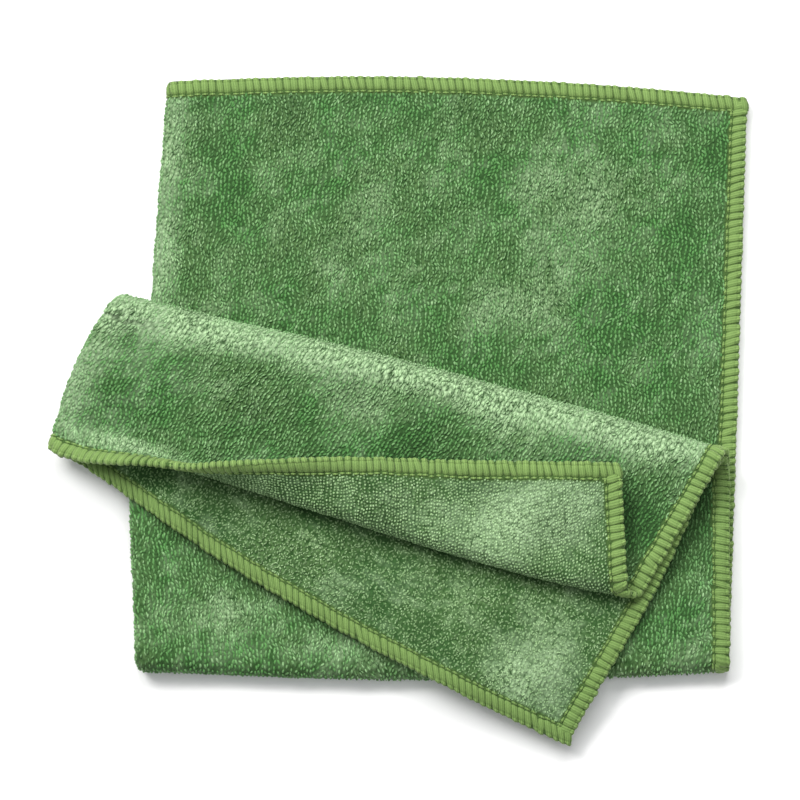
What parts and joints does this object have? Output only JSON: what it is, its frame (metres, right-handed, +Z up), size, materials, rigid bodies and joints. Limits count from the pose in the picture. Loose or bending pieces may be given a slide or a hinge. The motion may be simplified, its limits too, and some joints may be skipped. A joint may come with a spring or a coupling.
{
  "type": "cleaning cloth",
  "caption": "Folded microfibre terry cleaning cloth with an overlocked hem; one page's corner is turned back to show the inside.",
  "frame": {"origin": "centre of the folded cloth's box, on the table it lies on", "axes": "+Z up from the table, +Y towards the open hem at the back, +X from the spine towards the side hems"},
  "size_m": [0.2418, 0.2332, 0.0377],
  "materials": {
    "terry": "short matte terry pile with a soft sheen"
  },
  "bodies": {
    "root": {"cloth": "terry"}
  },
  "joints": []
}
